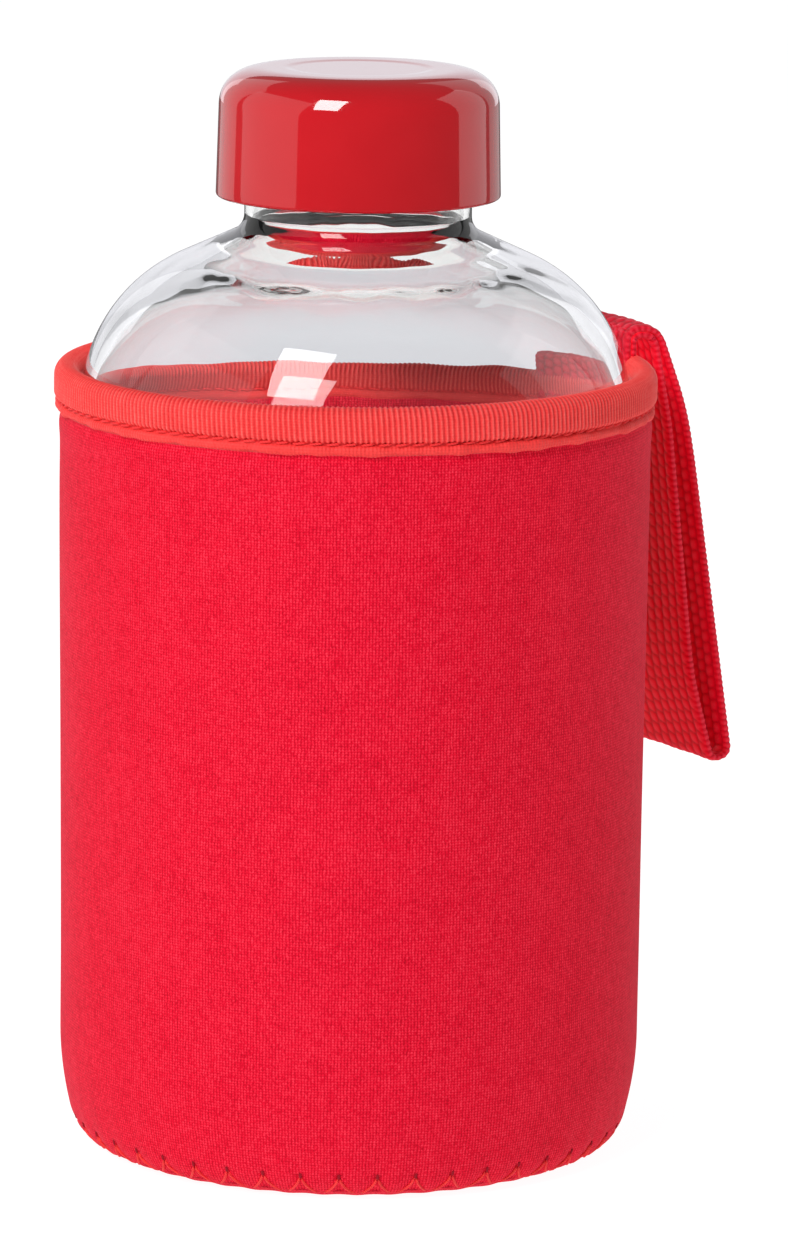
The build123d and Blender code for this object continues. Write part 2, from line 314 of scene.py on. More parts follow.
def knit(name, flat=False):
    """Fine knit facing: columns of small V loops, some brighter than others. The raised loops are lighter
    and the gaps between them darker, as painted shade, and the brightest flecks are painted highlights of
    the fibres.
    """
    s = Shader(name)
    place, x, y, z, turn = s.place()
    round_it = x if flat else s.math("MULTIPLY", turn, SLEEVE_R)
    up = y if flat else z
    wander = s.math("MULTIPLY", s.math("SUBTRACT", s.noise(place, 0.8, 2.0), 0.5), 0.4)
    round_it = s.math("ADD", round_it, wander)
    wale = s.math("FRACT", s.math("DIVIDE", round_it, KNIT_WALE))
    fold = s.math("ABSOLUTE", s.math("SUBTRACT", wale, 0.5))
    climb = s.math("ADD", s.math("DIVIDE", up, KNIT_COURSE), s.math("MULTIPLY", fold, 0.8))
    loop = s.math("ABSOLUTE", s.math("SINE", s.math("MULTIPLY", climb, math.pi)))
    column = s.math("SUBTRACT", 1.0, s.math("POWER", s.math("MULTIPLY", fold, 2.0), 2.5))
    column = s.math("ADD", 0.25, s.math("MULTIPLY", column, 0.75))
    height = s.math("MULTIPLY", s.math("ADD", 0.50, s.math("MULTIPLY", loop, 0.50)), column)
    cloudy = s.noise(place, 0.10, 4.0)
    patchy = s.noise(place, 0.55, 3.0)
    grain = s.noise(place, 2.6, 2.0)
    # Painted light: low places between the loops take the dark gap colour as painted shade, and the
    # brightest speckles take the glint colour as painted highlights. The patchy and cloudy noise is the
    # yarn's own uneven tone.
    bright = s.math("ADD", s.math("MULTIPLY", patchy, 0.5), s.math("MULTIPLY_ADD", grain, 1.6, -0.2))
    tone = s.math("MULTIPLY", height, s.math("SUBTRACT", bright, 0.15))
    tone = s.math("ADD", tone, s.math("MULTIPLY", cloudy, 0.16))
    s.set(Base_Color=s.ramp(tone, (0.05, KNIT_GAP_SHADE), (0.50, KNIT_YARN), (1.0, KNIT_PAINTED_HIGHLIGHT)))
    s.set(Roughness=s.math("ADD", 0.6, s.math("MULTIPLY", grain, 0.2)))
    s.set(Normal=s.bump(height, 0.07, 0.8, s.bump(grain, 0.05, 0.5)))
    s.set(Specular_IOR_Level=0.10, Sheen_Weight=0.22, Sheen_Roughness=0.35)
    s.bsdf.inputs["Sheen Tint"].default_value = (1.0, 0.18, 0.24, 1.0)
    return s.material


def ribbed_tape(name, ribs, slant):
    """Ribbed elastic tape: above the groove the ribs' crests are painted lighter, in step with their
    shape, as painted highlights. Along the groove the tape is painted darker, as painted shade.
    """
    s = Shader(name)
    place, x, y, z, turn = s.place()
    phase = s.math("ADD", s.math("MULTIPLY", turn, float(ribs)), s.math("MULTIPLY", z, slant))
    # Painted highlight: the ribs' crests above the groove are lighter.
    above = s.math("MULTIPLY_ADD", s.math("SUBTRACT", z, GROOVE_Z), 3.0, 0.0, clamp=True)
    crest = s.math("MULTIPLY_ADD", s.math("MULTIPLY", s.math("COSINE", phase), above), 0.5, 0.5)
    # Painted shade: the tape is darker near the groove, fading out within about 0.4 mm of it.
    from_groove = s.math("ABSOLUTE", s.math("SUBTRACT", z, GROOVE_Z))
    shaded = s.math("SUBTRACT", 0.30, s.math("MULTIPLY", from_groove, 0.7), clamp=True)
    weave = s.math("ABSOLUTE", s.math("SINE", s.math("MULTIPLY", z, math.pi / 0.42)))
    uneven = s.noise(place, 0.35, 4.0)
    fuzz = s.noise(place, 3.0, 3.0)
    tone = s.math("ADD", s.math("MULTIPLY", crest, 0.42), s.math("MULTIPLY", fuzz, 0.42))
    tone = s.math("ADD", tone, s.math("MULTIPLY", uneven, 0.22))
    tone = s.math("SUBTRACT", tone, s.math("ADD", s.math("MULTIPLY", weave, 0.08), shaded))
    s.set(Base_Color=s.ramp(tone, (0.15, TAPE_GAP_SHADE), (0.55, TAPE_YARN), (0.95, TAPE_PAINTED_HIGHLIGHT)))
    s.set(Roughness=s.math("ADD", 0.45, s.math("MULTIPLY", fuzz, 0.25)))
    s.set(Normal=s.bump(weave, 0.03, 0.5, s.bump(fuzz, 0.06, 0.7)))
    s.set(Specular_IOR_Level=0.25, Sheen_Weight=0.40, Sheen_Roughness=0.4)
    s.bsdf.inputs["Sheen Tint"].default_value = (1.0, 0.45, 0.44, 1.0)
    return s.material


def woven(name):
    """Webbing: the tops of its floats are painted lighter, as painted highlights, and the low places
    between them darker, as painted shade, by the height kept on the mesh.
    """
    s = Shader(name)
    place = s.place()[0]
    height = s.tree.nodes.new("ShaderNodeAttribute")
    height.attribute_name = "float_height"
    uneven = s.noise(place, 0.4, 3.0)
    fuzz = s.noise(place, 3.5, 3.0)
    # Painted light: the kept height lifts the float tops towards the glint colour as painted highlights
    # and leaves the low places dark as painted shade.
    raised = s.math("MULTIPLY", height.outputs["Fac"], 0.62)
    tone = s.math("ADD", raised, s.math("MULTIPLY", fuzz, 0.34))
    tone = s.math("ADD", tone, s.math("MULTIPLY", uneven, 0.16))
    s.set(Base_Color=s.ramp(tone, (0.22, WEB_GAP_SHADE), (0.58, WEB_YARN), (0.98, WEB_PAINTED_HIGHLIGHT)))
    s.set(Roughness=s.math("ADD", 0.38, s.math("MULTIPLY", fuzz, 0.3)))
    s.set(Normal=s.bump(fuzz, 0.06, 0.7))
    s.set(Specular_IOR_Level=0.22, Sheen_Weight=0.22, Sheen_Roughness=0.4)
    s.bsdf.inputs["Sheen Tint"].default_value = (1.0, 0.06, 0.16, 1.0)
    return s.material


def fibre(name, dark, light, pitch, lean):
    """Yarn finish: fine twisted fibres with some uneven tone."""
    s = Shader(name)
    place, x, y, z, turn = s.place()
    round_it = s.math("MULTIPLY", turn, SLEEVE_R)
    twist = s.math("ADD", s.math("DIVIDE", round_it, pitch), s.math("MULTIPLY", z, lean))
    strand = s.math("ABSOLUTE", s.math("SINE", s.math("MULTIPLY", twist, math.pi)))
    uneven = s.noise(place, 0.5, 4.0)
    fuzz = s.noise(place, 6.0, 2.0)
    tone = s.math("ADD", s.math("MULTIPLY", strand, 0.35), s.math("MULTIPLY", uneven, 0.4))
    tone = s.math("ADD", tone, s.math("MULTIPLY", fuzz, 0.3))
    s.set(Base_Color=s.ramp(tone, (0.2, dark), (0.85, light)))
    s.set(Roughness=s.math("ADD", 0.55, s.math("MULTIPLY", fuzz, 0.2)))
    s.set(Normal=s.bump(strand, 0.04, 0.6, s.bump(fuzz, 0.04, 0.6)))
    s.set(Specular_IOR_Level=0.2, Sheen_Weight=0.35, Sheen_Roughness=0.45)
    s.bsdf.inputs["Sheen Tint"].default_value = (1.0, 0.2, 0.25, 1.0)
    return s.material


def glossy_red():
    """Glossy plastic under a clear coat, with a trace of flow and wear."""
    s = Shader("cap_red_gloss")
    place = s.place()[0]
    flow = s.noise(place, 0.05, 2.0)
    wear = s.noise(place, 1.5, 4.0)
    s.set(Base_Color=s.ramp(flow, (0.3, (0.56, 0.004, 0.010)), (0.7, (0.62, 0.007, 0.014))))
    s.set(Roughness=s.math("ADD", 0.05, s.math("MULTIPLY", s.math("POWER", wear, 4.0), 0.3)))
    s.set(Normal=s.bump(flow, 0.05, 0.25))
    s.set(IOR=1.5, Coat_Weight=1.0, Coat_Roughness=0.02)
    return s.material


def clear_glass():
    """Clear glass with slow waves in its surface."""
    s = Shader("clear_glass")
    place = s.place()[0]
    waves = s.noise(place, 0.035, 2.0)
    s.set(Base_Color=(0.988, 0.994, 0.990, 1.0), Roughness=0.0, IOR=1.5, Transmission_Weight=1.0)
    s.set(Normal=s.bump(waves, 0.5, 0.08))
    return s.material


def moulded(name, colour, roughness):
    """A fine-grained finish for moulded plastic and foam; it also colours the dark pieces that paint the
    shade in the needle holes.
    """
    s = Shader(name)
    place = s.place()[0]
    grain = s.noise(place, 3.0, 3.0)
    light = tuple(min(1.0, c * 1.12) for c in colour)
    s.set(Base_Color=s.ramp(grain, (0.3, colour), (0.7, light)))
    s.set(Roughness=s.math("ADD", roughness, s.math("MULTIPLY", grain, 0.15)))
    s.set(Normal=s.bump(grain, 0.03, 0.5))
    return s.material


neoprene = knit("neoprene_knit")
neoprene_flat = knit("neoprene_knit_base", flat=True)
tape = ribbed_tape("binding_tape", BINDING_RIBS, RIB_SLANT)
thread = fibre("sewing_thread", (0.72, 0.006, 0.016), (1.0, 0.060, 0.055), 0.5, 2.2)
webbing = woven("strap_webbing")


# ---- sleeve ----
def slow_waves(turn, row_z, size):
    """The unevenness of sewn cloth stretched over a bottle."""
    return size * (
        np.sin(2 * turn + 0.05 * row_z + 0.7)
        + 0.7 * np.sin(3 * turn - 0.08 * row_z + 2.1)
        + 0.5 * np.sin(5 * turn + 0.11 * row_z)
    )


def near(turn, count, phase=0.0):
    """Angle from the nearest of count even places, in radians."""
    step = 2 * math.pi / count
    return (turn - phase + step / 2) % step - step / 2


def sleeve_side():
    """The side panel: a little uneven, pinched under the rim, and drawn in at the needle holes."""
    z0 = BINDING_BOTTOM
    core_in, core_out, core_top = BORE_R + 0.8, SLEEVE_TOP_R - 0.1, RIM_TOP - 1.0
    outer = [corner_outline(0, SEAM_ANGLE, 0.3)]
    outer.append(spaced((SLEEVE_R, SIDE_Z), (SLEEVE_TOP_R - 0.04, z0 - 9), 1.4))
    outer.append(spaced((SLEEVE_TOP_R - 0.04, z0 - 9), (SLEEVE_TOP_R, z0), 0.45))
    outer = np.concatenate(outer)
    hidden = np.concatenate([
        spaced((core_out, z0 + 0.05), (core_out, core_top), 2.0),
        spaced((core_out, core_top), (core_in, core_top), 1.0),
        spaced((core_in, core_top), (core_in, z0), 2.0),
    ])
    inner = np.concatenate([
        spaced((BORE_R, z0), (BORE_R, SIDE_Z), 1.6),
        corner_outline(SLEEVE_T, SEAM_ANGLE, 0.6)[::-1],
    ])
    outline = np.concatenate([outer, hidden, inner])
    hole = polar((FLAT_R, CORNER_R), CORNER_R, -ZIGZAG_TOP)

    def push(turn, row):
        z = outline[row, 1]
        on_outside = row < len(outer)
        share = np.clip((z - 4) / 25, 0, 1) * np.clip((z0 + 1 - z) / 12, 0, 1)
        waves = slow_waves(turn, z, 0.07) * share
        under_rim = 0.16 * np.exp(-((z - (z0 - 2.2)) / 1.8) ** 2)
        pinch = -0.35 * np.exp(-((z - z0) / 0.9) ** 2)
        around = near(turn, ZIGZAGS) * hole[0]
        along = z - hole[1]
        needle = -0.42 * np.exp(-(around ** 2 + along ** 2) / 0.5 ** 2)
        flute = 0.10 * np.cos(near(turn, ZIGZAGS) * ZIGZAGS + math.pi)
        flute = flute * np.exp(-np.clip(along, -9, 20) / 3.5)
        flute = flute * np.clip((along + 6) / 3, 0, 1)
        return np.where(on_outside, waves + under_rim + pinch + needle + np.clip(flute, -0.2, 0.2), 0.0)

    made = turned("sleeve_side_cloth", outline, ZIGZAGS * 16, neoprene, push)
    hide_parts("sleeve_side")
    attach(made, "sleeve")


def sleeve_base():
    """The base disc, drawn a little into the seam where the zigzag pulls it."""
    seam = arc((FLAT_R, CORNER_R), CORNER_R, -90, -SEAM_ANGLE, 0.5)
    middle = 1.0
    outer = np.concatenate([spaced((middle, 0), (FLAT_R, 0), 1.5), seam])
    top = polar((FLAT_R, CORNER_R), CORNER_R, -SEAM_ANGLE)
    low = polar((FLAT_R, CORNER_R), CORNER_R - SLEEVE_T, -SEAM_ANGLE)
    inner = np.concatenate([
        spaced(top, low, 1.2),
        arc((FLAT_R, CORNER_R), CORNER_R - SLEEVE_T, -SEAM_ANGLE, -90, 0.6),
        spaced((FLAT_R, BASE_T), (middle, BASE_T), 3.0),
        np.array([[middle, BASE_T]]),
    ])
    outline = np.concatenate([outer, inner])

    def push(turn, row):
        edge = np.clip((outline[row, 0] - FLAT_R) / 3, 0, 1)
        drawn_in = -0.12 * edge * (1 + np.cos(near(turn, ZIGZAGS) * ZIGZAGS))
        return np.where(row < len(outer), drawn_in, 0.0)

    steps = ZIGZAGS * 8
    made = turned("sleeve_base_cloth", outline, steps, neoprene_flat, push)
    close_middle(made, outline, steps)
    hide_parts("sleeve_base")
    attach(made, "sleeve")


def close_middle(made, outline, steps):
    """Fills the small hole on the axis: drops the wall round it and closes both rings."""
    rows = len(outline)
    pole = {i for i in range(rows) if outline[i, 0] == outline[:, 0].min()}
    work = bmesh.new()
    work.from_mesh(made.data)
    work.verts.ensure_lookup_table()
    wall = [f for f in work.faces if all(v.index % rows in pole for v in f.verts)]
    bmesh.ops.delete(work, geom=wall, context="FACES_ONLY")
    work.verts.ensure_lookup_table()
    for row in pole:
        work.faces.new([work.verts[i * rows + row] for i in range(steps)])
    bmesh.ops.recalc_face_normals(work, faces=work.faces)
    for face in work.faces:
        face.smooth = True
    work.to_mesh(made.data)
    work.free()


def base_zigzag():
    """Thread over the base seam, with its legs lying on the cloth between the needle holes."""
    centre = (FLAT_R, CORNER_R)
    step = 2 * math.pi / ZIGZAGS
    lift = 0.06
    paths = []
    for i in range(ZIGZAGS):
        for side in (-1, 1):
            share = np.linspace(0, 1, 9)
            below = ZIGZAG_TOP + 2 + (ZIGZAG_LOW - ZIGZAG_TOP) * share
            spot = polar(centre, CORNER_R + lift - 0.25 * (1 - share) ** 6, -below)
            swing = side * step * (0.03 + 0.38 * share ** 1.5)
            paths.append(around(spot[:, 0], i * step + swing, spot[:, 1]))
    made = threads("base_zigzag_thread", paths, ZIGZAG_THREAD_R, thread)
    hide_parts("base_stitching")
    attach(made, "sleeve")


def needle_hole_shade():
    """Painted shade: small dark pieces at the zigzag's upper points, where the needle holes are, standing
    in for the shade inside the holes.
    """
    spot = polar((FLAT_R, CORNER_R), CORNER_R - 0.16, -(ZIGZAG_TOP - 1.5))
    half = 0.42
    paths = []
    for i in range(ZIGZAGS):
        turn = i * 2 * math.pi / ZIGZAGS
        low = around(spot[0], turn, spot[1] - half)
        high = around(spot[0] + 0.25, turn, spot[1] + half)
        paths.append(low + (high - low) * np.linspace(0, 1, 6)[:, None])
    # This dark colour is painted shade, not the cloth's own colour.
    shadow = moulded("needle_hole_shadow", (0.30, 0.0, 0.010), 0.9)
    made = threads("base_needle_hole_shade", paths, NEEDLE_HOLE_R, shadow, squash=0.6)
    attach(made, "sleeve")


# ---- rim binding ----
def rim_binding():
    """Ribbed tape folded over the rim: a full round edge, a stitched groove and a thin bead below it."""
    core_in, core_out = BORE_R + 0.8, SLEEVE_TOP_R - 0.1
    middle_r = (RIM_R + BORE_R) / 2
    half_w = (RIM_R - BORE_R) / 2
    round_z = RIM_TOP - 2.1
    bead_z = BINDING_BOTTOM + BEAD_H / 2
    bead = polar((SLEEVE_TOP_R - 0.05, bead_z), 1.0, np.linspace(-80, 62, 9))
    bead[:, 0] = SLEEVE_TOP_R - 0.05 + (bead[:, 0] - SLEEVE_TOP_R + 0.05) * 0.62
    bead[:, 1] = bead_z + (bead[:, 1] - bead_z) * 0.72
    groove = np.array([[SLEEVE_TOP_R + 0.02, GROOVE_Z - 0.22], [SLEEVE_TOP_R + 0.0, GROOVE_Z + 0.12]])
    low = polar((RIM_R - 0.85, GROOVE_Z + 1.05), 0.85, np.linspace(-74, -8, 6))
    face = spaced((RIM_R, GROOVE_Z + 1.5), (RIM_R, round_z), 0.5)
    top = np.stack([
        middle_r + half_w * np.cos(np.radians(np.linspace(0, 180, 19))),
        round_z + (RIM_TOP - round_z) * np.sin(np.radians(np.linspace(0, 180, 19))),
    ], axis=1)
    inner = np.concatenate([
        spaced((BORE_R, round_z - 0.4), (BORE_R, GROOVE_Z + 0.8), 0.6),
        np.array([
            [BORE_R + 0.3, GROOVE_Z + 0.3],
            [BORE_R + 0.3, GROOVE_Z - 0.3],
            [BORE_R, GROOVE_Z - 0.8],
            [BORE_R, BINDING_BOTTOM + 0.2],
            [BORE_R + 0.1, BINDING_BOTTOM],
        ]),
    ])
    back = np.array([
        [core_in, BINDING_BOTTOM],
        [core_in, RIM_TOP - 1.0],
        [core_out, RIM_TOP - 1.0],
        [core_out, BINDING_BOTTOM + 0.02],
    ])
    outline = np.concatenate([bead, groove, low, face, top, inner, back])
    soft = len(bead) + len(groove) + len(low) + len(face) + len(top) + len(inner)
    first_band = len(bead) + len(groove)

    def push(turn, row):
        on_bead = row < len(bead)
        on_band = (row >= first_band) & (row < soft)
        ribs = np.cos(turn * BINDING_RIBS + RIB_SLANT * outline[row, 1])
        fine = np.cos(turn * BEAD_RIBS)
        on_face = (row >= first_band) & (row < soft - len(inner))
        rib = np.where(on_face, 0.10 * ribs, np.where(on_bead, 0.04 * fine, 0.0))
        ragged = (
            np.sin(9 * turn + 1)
            + np.sin(23 * turn)
            + 0.8 * np.sin(41 * turn + 2)
            + 0.6 * np.sin(67 * turn)
        )
        rib = rib + np.where(on_bead, 0.10 * ragged, 0.0)
        pull = np.cos(near(turn, RIM_STITCHES) * RIM_STITCHES)
        by_stitch = np.exp(-((outline[row, 1] - GROOVE_Z) / 0.8) ** 2)
        stitch = np.where(on_bead | on_face, 0.045 * pull * by_stitch, 0.0)
        waves = np.where(row < soft - len(inner), slow_waves(turn, 0, 0.05), 0.0)
        return np.where(on_bead | on_band, rib + stitch + waves, 0.0)

    made = turned("rim_binding_tape", outline, BINDING_RIBS * 8, tape, push)
    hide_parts("rim_binding")
    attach(made, "sleeve")


def rim_stitches():
    """Lockstitch in the binding's groove, outside and inside."""
    step = 2 * math.pi / RIM_STITCHES
    paths = []
    for radius, depth in ((SLEEVE_TOP_R + 0.26, 0.3), (BORE_R + 0.34, -0.1)):
        for i in range(RIM_STITCHES):
            share = np.linspace(0, 1, 9)
            turn = (i + 0.10 + 0.80 * share) * step
            dip = radius - depth * (2 * share - 1) ** 4
            height = GROOVE_Z + 0.10 * np.sin(math.pi * (share - 0.5))
            paths.append(around(dip, turn, height))
    made = threads("rim_stitch_thread", paths, 0.2, thread)
    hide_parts("rim_stitching")
    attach(made, "sleeve")


def side_seam():
    """Zigzag thread up the closing seam at the back."""
    low, high = (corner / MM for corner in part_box("side_seam_stitching"))
    count, half_width = SEAM_ZIGZAGS, 1.7
    pitch = (high.z - low.z) / count
    paths = []
    for i in range(count):
        side = 1 if i % 2 else -1
        share = np.linspace(0.04, 0.96, 8)
        x = side * half_width * (2 * share - 1)
        z = low.z + (i + share) * pitch
        cloth = SLEEVE_R + 0.4 * (z - SIDE_Z) / (BINDING_BOTTOM - SIDE_Z)
        radius = cloth + 0.22 - 0.25 * (2 * share - 1) ** 6
        paths.append(np.stack([x, np.sqrt(radius ** 2 - x ** 2), z], axis=1))
    made = threads("side_seam_thread", paths, 0.24, thread)
    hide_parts("side_seam_stitching")
    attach(made, "sleeve")


# ---- webbing loop ----
def rounded(corners, step):
    """Points along straight runs joined by tangent arcs; each corner has its radius."""
    places = [np.array(place, float) for place, radius in corners]
    points = [places[0]]
    for before, here, after, (_, radius) in zip(places, places[1:], places[2:], corners[1:]):
        into = (here - before) / np.linalg.norm(here - before)
        out = (after - here) / np.linalg.norm(after - here)
        turn = math.acos(np.clip(into @ out, -1, 1))
        reach = radius * math.tan(turn / 2)
        start, end = here - into * reach, here + out * reach
        points.extend(spaced(points[-1], start, step)[1:])
        side = np.sign(into[0] * out[1] - into[1] * out[0])
        centre = start + side * radius * np.array([-into[1], into[0]])
        count = max(3, int(turn * radius / step))
        for share in np.arange(count + 1) / count:
            a = side * turn * share
            spoke = start - centre
            points.append(centre + [
                spoke[0] * math.cos(a) - spoke[1] * math.sin(a),
                spoke[0] * math.sin(a) + spoke[1] * math.cos(a),
            ])
    points.extend(spaced(points[-1], places[-1], step)[1:])
    points.append(places[-1])
    return np.array(points)


def strap_path():
    """From the tail inside the rim, over it, down the outer layer, and back up the inner one."""
    inside, outside = tail_high.y - 1.5, tail_high.y - 0.5
    foot = tail_low.z
    corners = [
        ((inside, foot), 0),
        ((inside, 125.6), 1.9),
        ((46.3, 128.3), 3.2),
        ((48.9, 124.9), 5.0),
        ((52.6, 113.6), 60.0),
        ((61.9, 57.6), 1.55),
        ((58.7, 56.8), 1.55),
        ((54.4, 71.5), 60.0),
        ((50.3, 111.0), 50.0),
        ((48.0, 124.4), 3.9),
        ((46.2, 126.7), 2.1),
        ((outside, 125.1), 1.0),
        ((outside, foot + 0.6), 0),
    ]
    return rounded(corners, 0.24)


def strap():
    """Woven webbing in one strip: rounded bumps in staggered columns, and a dotted selvedge."""
    path = strap_path()
    along = np.gradient(path, axis=0)
    along /= np.linalg.norm(along, axis=1, keepdims=True)
    normal = np.stack([along[:, 1], -along[:, 0]], axis=1)
    run = np.concatenate([[0], np.cumsum(np.linalg.norm(np.diff(path, axis=0), axis=1))])
    across = np.linspace(-0.5, 0.5, 105) * STRAP_W
    run_grid, across_grid = np.meshgrid(run, across, indexing="ij")
    column = across_grid / FLOAT_WIDTH
    stagger = np.floor(column) % 2 * 0.5
    back_stagger = np.floor(column + 0.5) % 2 * 0.5
    row = run_grid / FLOAT_LENGTH
    lean = 0.25 * column
    bump = (np.sin(math.pi * (column % 1.0)) * np.sin(math.pi * ((row + stagger + lean) % 1.0))) ** 0.7
    back_place = ((column + 0.5) % 1.0, (row + lean + back_stagger) % 1.0)
    back_bump = (np.sin(math.pi * back_place[0]) * np.sin(math.pi * back_place[1])) ** 0.7
    edge = np.clip((STRAP_W / 2 - np.abs(across_grid)) / 1.1, 0, 1)
    dots = np.abs(np.sin(math.pi * run_grid / (FLOAT_LENGTH / 2)))
    beads = 0.10 * dots * (1 - edge)
    thin = 0.34 + 0.20 * np.sqrt(np.clip(edge, 0.0, 1))
    front = thin - 0.10 + 0.20 * bump * edge + beads
    rear = thin - 0.10 + 0.20 * back_bump * edge + beads
    out_of_line = 0.12 * dots * (np.abs(across_grid) > STRAP_W / 2 - 0.2)
    layers = []
    for side, thickness in ((1, front), (-1, rear)):
        reach = path[:, None, 0] + side * normal[:, None, 0] * thickness
        height = path[:, None, 1] + side * normal[:, None, 1] * thickness
        outward_y = np.clip((path[:, 0] - 46.0) / 8.0, 0, 1)
        curl = (1 - 0.9 * outward_y)[:, None]
        radius = reach / curl
        width = across_grid + np.sign(across_grid) * out_of_line
        x = radius * np.sin(width / radius)
        y = reach - radius * (1 - np.cos(width / radius))
        layers.append(np.stack([x, y, height], axis=-1))
    rows, columns = run_grid.shape
    points = np.concatenate([layer.reshape(-1, 3) for layer in layers])
    faces = grid_faces(rows, columns, False, False)
    half = rows * columns
    faces += [tuple(half + v for v in reversed(face)) for face in grid_faces(rows, columns, False, False)]
    for i in range(rows - 1):
        for j, flip in ((0, False), (columns - 1, True)):
            a, b = i * columns + j, (i + 1) * columns + j
            faces.append((a, half + a, half + b, b) if flip else (b, half + b, half + a, a))
    for j in range(columns - 1):
        for i, flip in ((0, True), (rows - 1, False)):
            a = i * columns + j
            b = a + 1
            faces.append((a, half + a, half + b, b) if flip else (b, half + b, half + a, a))
    made = mesh_object("webbing_loop", points, faces, webbing)
    outward(made)
    made.visible_shadow = False
    # The height kept on the mesh drives the webbing's painted highlights on float tops and selvedge dots,
    # and its painted shade between them.
    dotted = (1 - edge) * dots
    heights = np.concatenate([(top * edge + dotted).ravel() for top in (bump, back_bump)])
    kept = made.data.attributes.new("float_height", "FLOAT", "POINT")
    kept.data.foreach_set("value", heights.astype(np.float32))
    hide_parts("strap_loop", "strap_tail")
    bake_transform(made)


def tail_stitches():
    """Two rows of stitches that hold the webbing's tail inside the rim."""
    low, high = (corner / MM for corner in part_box("strap_stitching"))
    paths = []
    radius = BORE_R + 0.16
    for z in (low.z + 0.2, high.z - 0.2):
        for i in range(9):
            share = np.linspace(0, 1, 7)
            turn = math.pi / 2 + ((i - 4.5 + 0.12 + 0.76 * share) * 2.5) / 44
            dip = radius + 0.18 * (2 * share - 1) ** 4
            paths.append(around(dip, turn, z))
    made = threads("tail_stitch_thread", paths, 0.18, thread)
    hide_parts("strap_stitching")
    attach(made, "sleeve")


# ---- glass and cap ----
def bottle_side(inset, bottom, top, step):
    """The bottle's side, shoulder, cone and neck, moved in by inset."""
    turn = math.radians(SHOULDER_TURN)
    centre = np.array([GLASS_R - SHOULDER_R, SHOULDER_Z])
    off = centre + (SHOULDER_R - inset) * np.array([math.cos(turn), math.sin(turn)])
    along = np.array([-math.sin(turn), math.cos(turn)])
    neck_r, fillet_r = NECK_R - inset, NECK_FILLET + inset
    middle_r = neck_r + fillet_r
    reach = (off[0] - middle_r + fillet_r * math.cos(turn)) / math.sin(turn)
    start = off + along * reach
    middle = start + fillet_r * np.array([math.cos(turn), math.sin(turn)])
    return np.concatenate([
        spaced((GLASS_R - inset, bottom), (GLASS_R - inset, SHOULDER_Z), 3.0),
        arc(centre, SHOULDER_R - inset, 0, SHOULDER_TURN, step),
        spaced(off, start, step),
        arc(middle, fillet_r, 180 + SHOULDER_TURN, 180, 0.3),
        spaced((neck_r, middle[1]), (neck_r, top), 0.16),
    ])


def screw_bead(turn, z):
    """How far the bottle's thread stands out at an angle and height."""
    out = np.zeros_like(z)
    for lap in (0, 1):
        laps = turn / (2 * math.pi) + lap
        beyond = z - (THREAD_Z + THREAD_PITCH * laps)
        fade = np.clip(laps * 9, 0, 1) * np.clip((THREAD_TURNS - laps) * 9, 0, 1)
        out = np.maximum(out, np.sqrt(np.clip(BEAD_R ** 2 - beyond ** 2, 0, None)) * fade)
    return out


def glass_bottle(material):
    """The bottle, with its thread; inside, it is thicker and a little uneven at the shoulder."""
    lip = 0.9
    floor_z, inner_corner, ring_r, punt = BASE_T + 5.4, 6.0, 31.0, 1.6
    inset = SLEEVE_R - GLASS_R
    bore = NECK_R - GLASS_WALL
    outer = np.concatenate([
        corner_outline(inset, 90, 1.2),
        bottle_side(0, SIDE_Z, MOUTH_Z - lip, 0.5),
        arc((NECK_R - lip, MOUTH_Z - lip), lip, 0, 90, 0.2),
        spaced((NECK_R - lip, MOUTH_Z), (bore + lip, MOUTH_Z), 0.3),
        arc((bore + lip, MOUTH_Z - lip), lip, 90, 180, 0.2),
    ])
    inner = np.concatenate([
        bottle_side(GLASS_WALL, floor_z + inner_corner, MOUTH_Z - lip, 0.5)[::-1],
        arc((GLASS_R - GLASS_WALL - inner_corner, floor_z + inner_corner), inner_corner, 0, -90, 0.6),
        spaced((GLASS_R - GLASS_WALL - inner_corner, floor_z), (0.8, floor_z), 2.5),
        np.array([[0.8, floor_z]]),
    ])
    under_r = np.linspace(0.8, ring_r, 20)
    under = np.stack([under_r, BASE_T + punt * np.sqrt(1 - (under_r / ring_r) ** 2)], axis=1)
    outline = np.concatenate([under, spaced((ring_r + 0.3, BASE_T), (FLAT_R, BASE_T), 1.5), outer, inner])
    first_inner = len(outline) - len(inner)

    def push(turn, row):
        radius, z = outline[row, 0], outline[row, 1]
        on_neck = (row < first_inner) & (z > THREAD_Z - 3) & (z < MOUTH_Z - 1.2)
        bead = np.where(on_neck, screw_bead(turn, z), 0.0)
        rise = np.clip((z - SHOULDER_Z - 4) / 18, 0, 1) * np.clip((144.5 - z) / 5, 0, 1)
        lumpy = 0.007 + 0.022 * np.clip((z - 131) / 6, 0, 1) * np.clip((147 - z) / 4, 0, 1)
        uneven = (
            np.sin(2 * turn + 0.21 * z)
            + 0.8 * np.sin(3 * turn - 0.33 * z + 1.0)
            + 0.6 * np.sin(7 * turn + 0.5 * z + 2.0)
            + 0.5 * np.sin(13 * turn - 0.9 * z)
            + 0.3 * np.sin(23 * turn + 1.1 * z)
        )
        neck = np.clip((z - 142.5) / 3, 0, 1) * np.clip((MOUTH_Z - 3 - z) / 3, 0, 1)
        bumps = lumpy * uneven * np.clip((z - 95) / 15, 0, 1)
        thicker = SHOULDER_EXTRA * rise - NECK_THINNER * neck + bumps
        return bead + np.where(row >= first_inner, thicker, 0.0)

    made = turned("bottle_glass", outline, 384, material, push)
    close_middle(made, outline, 384)
    made.visible_shadow = False
    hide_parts("glass_bottle")
    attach(made, "bottle")


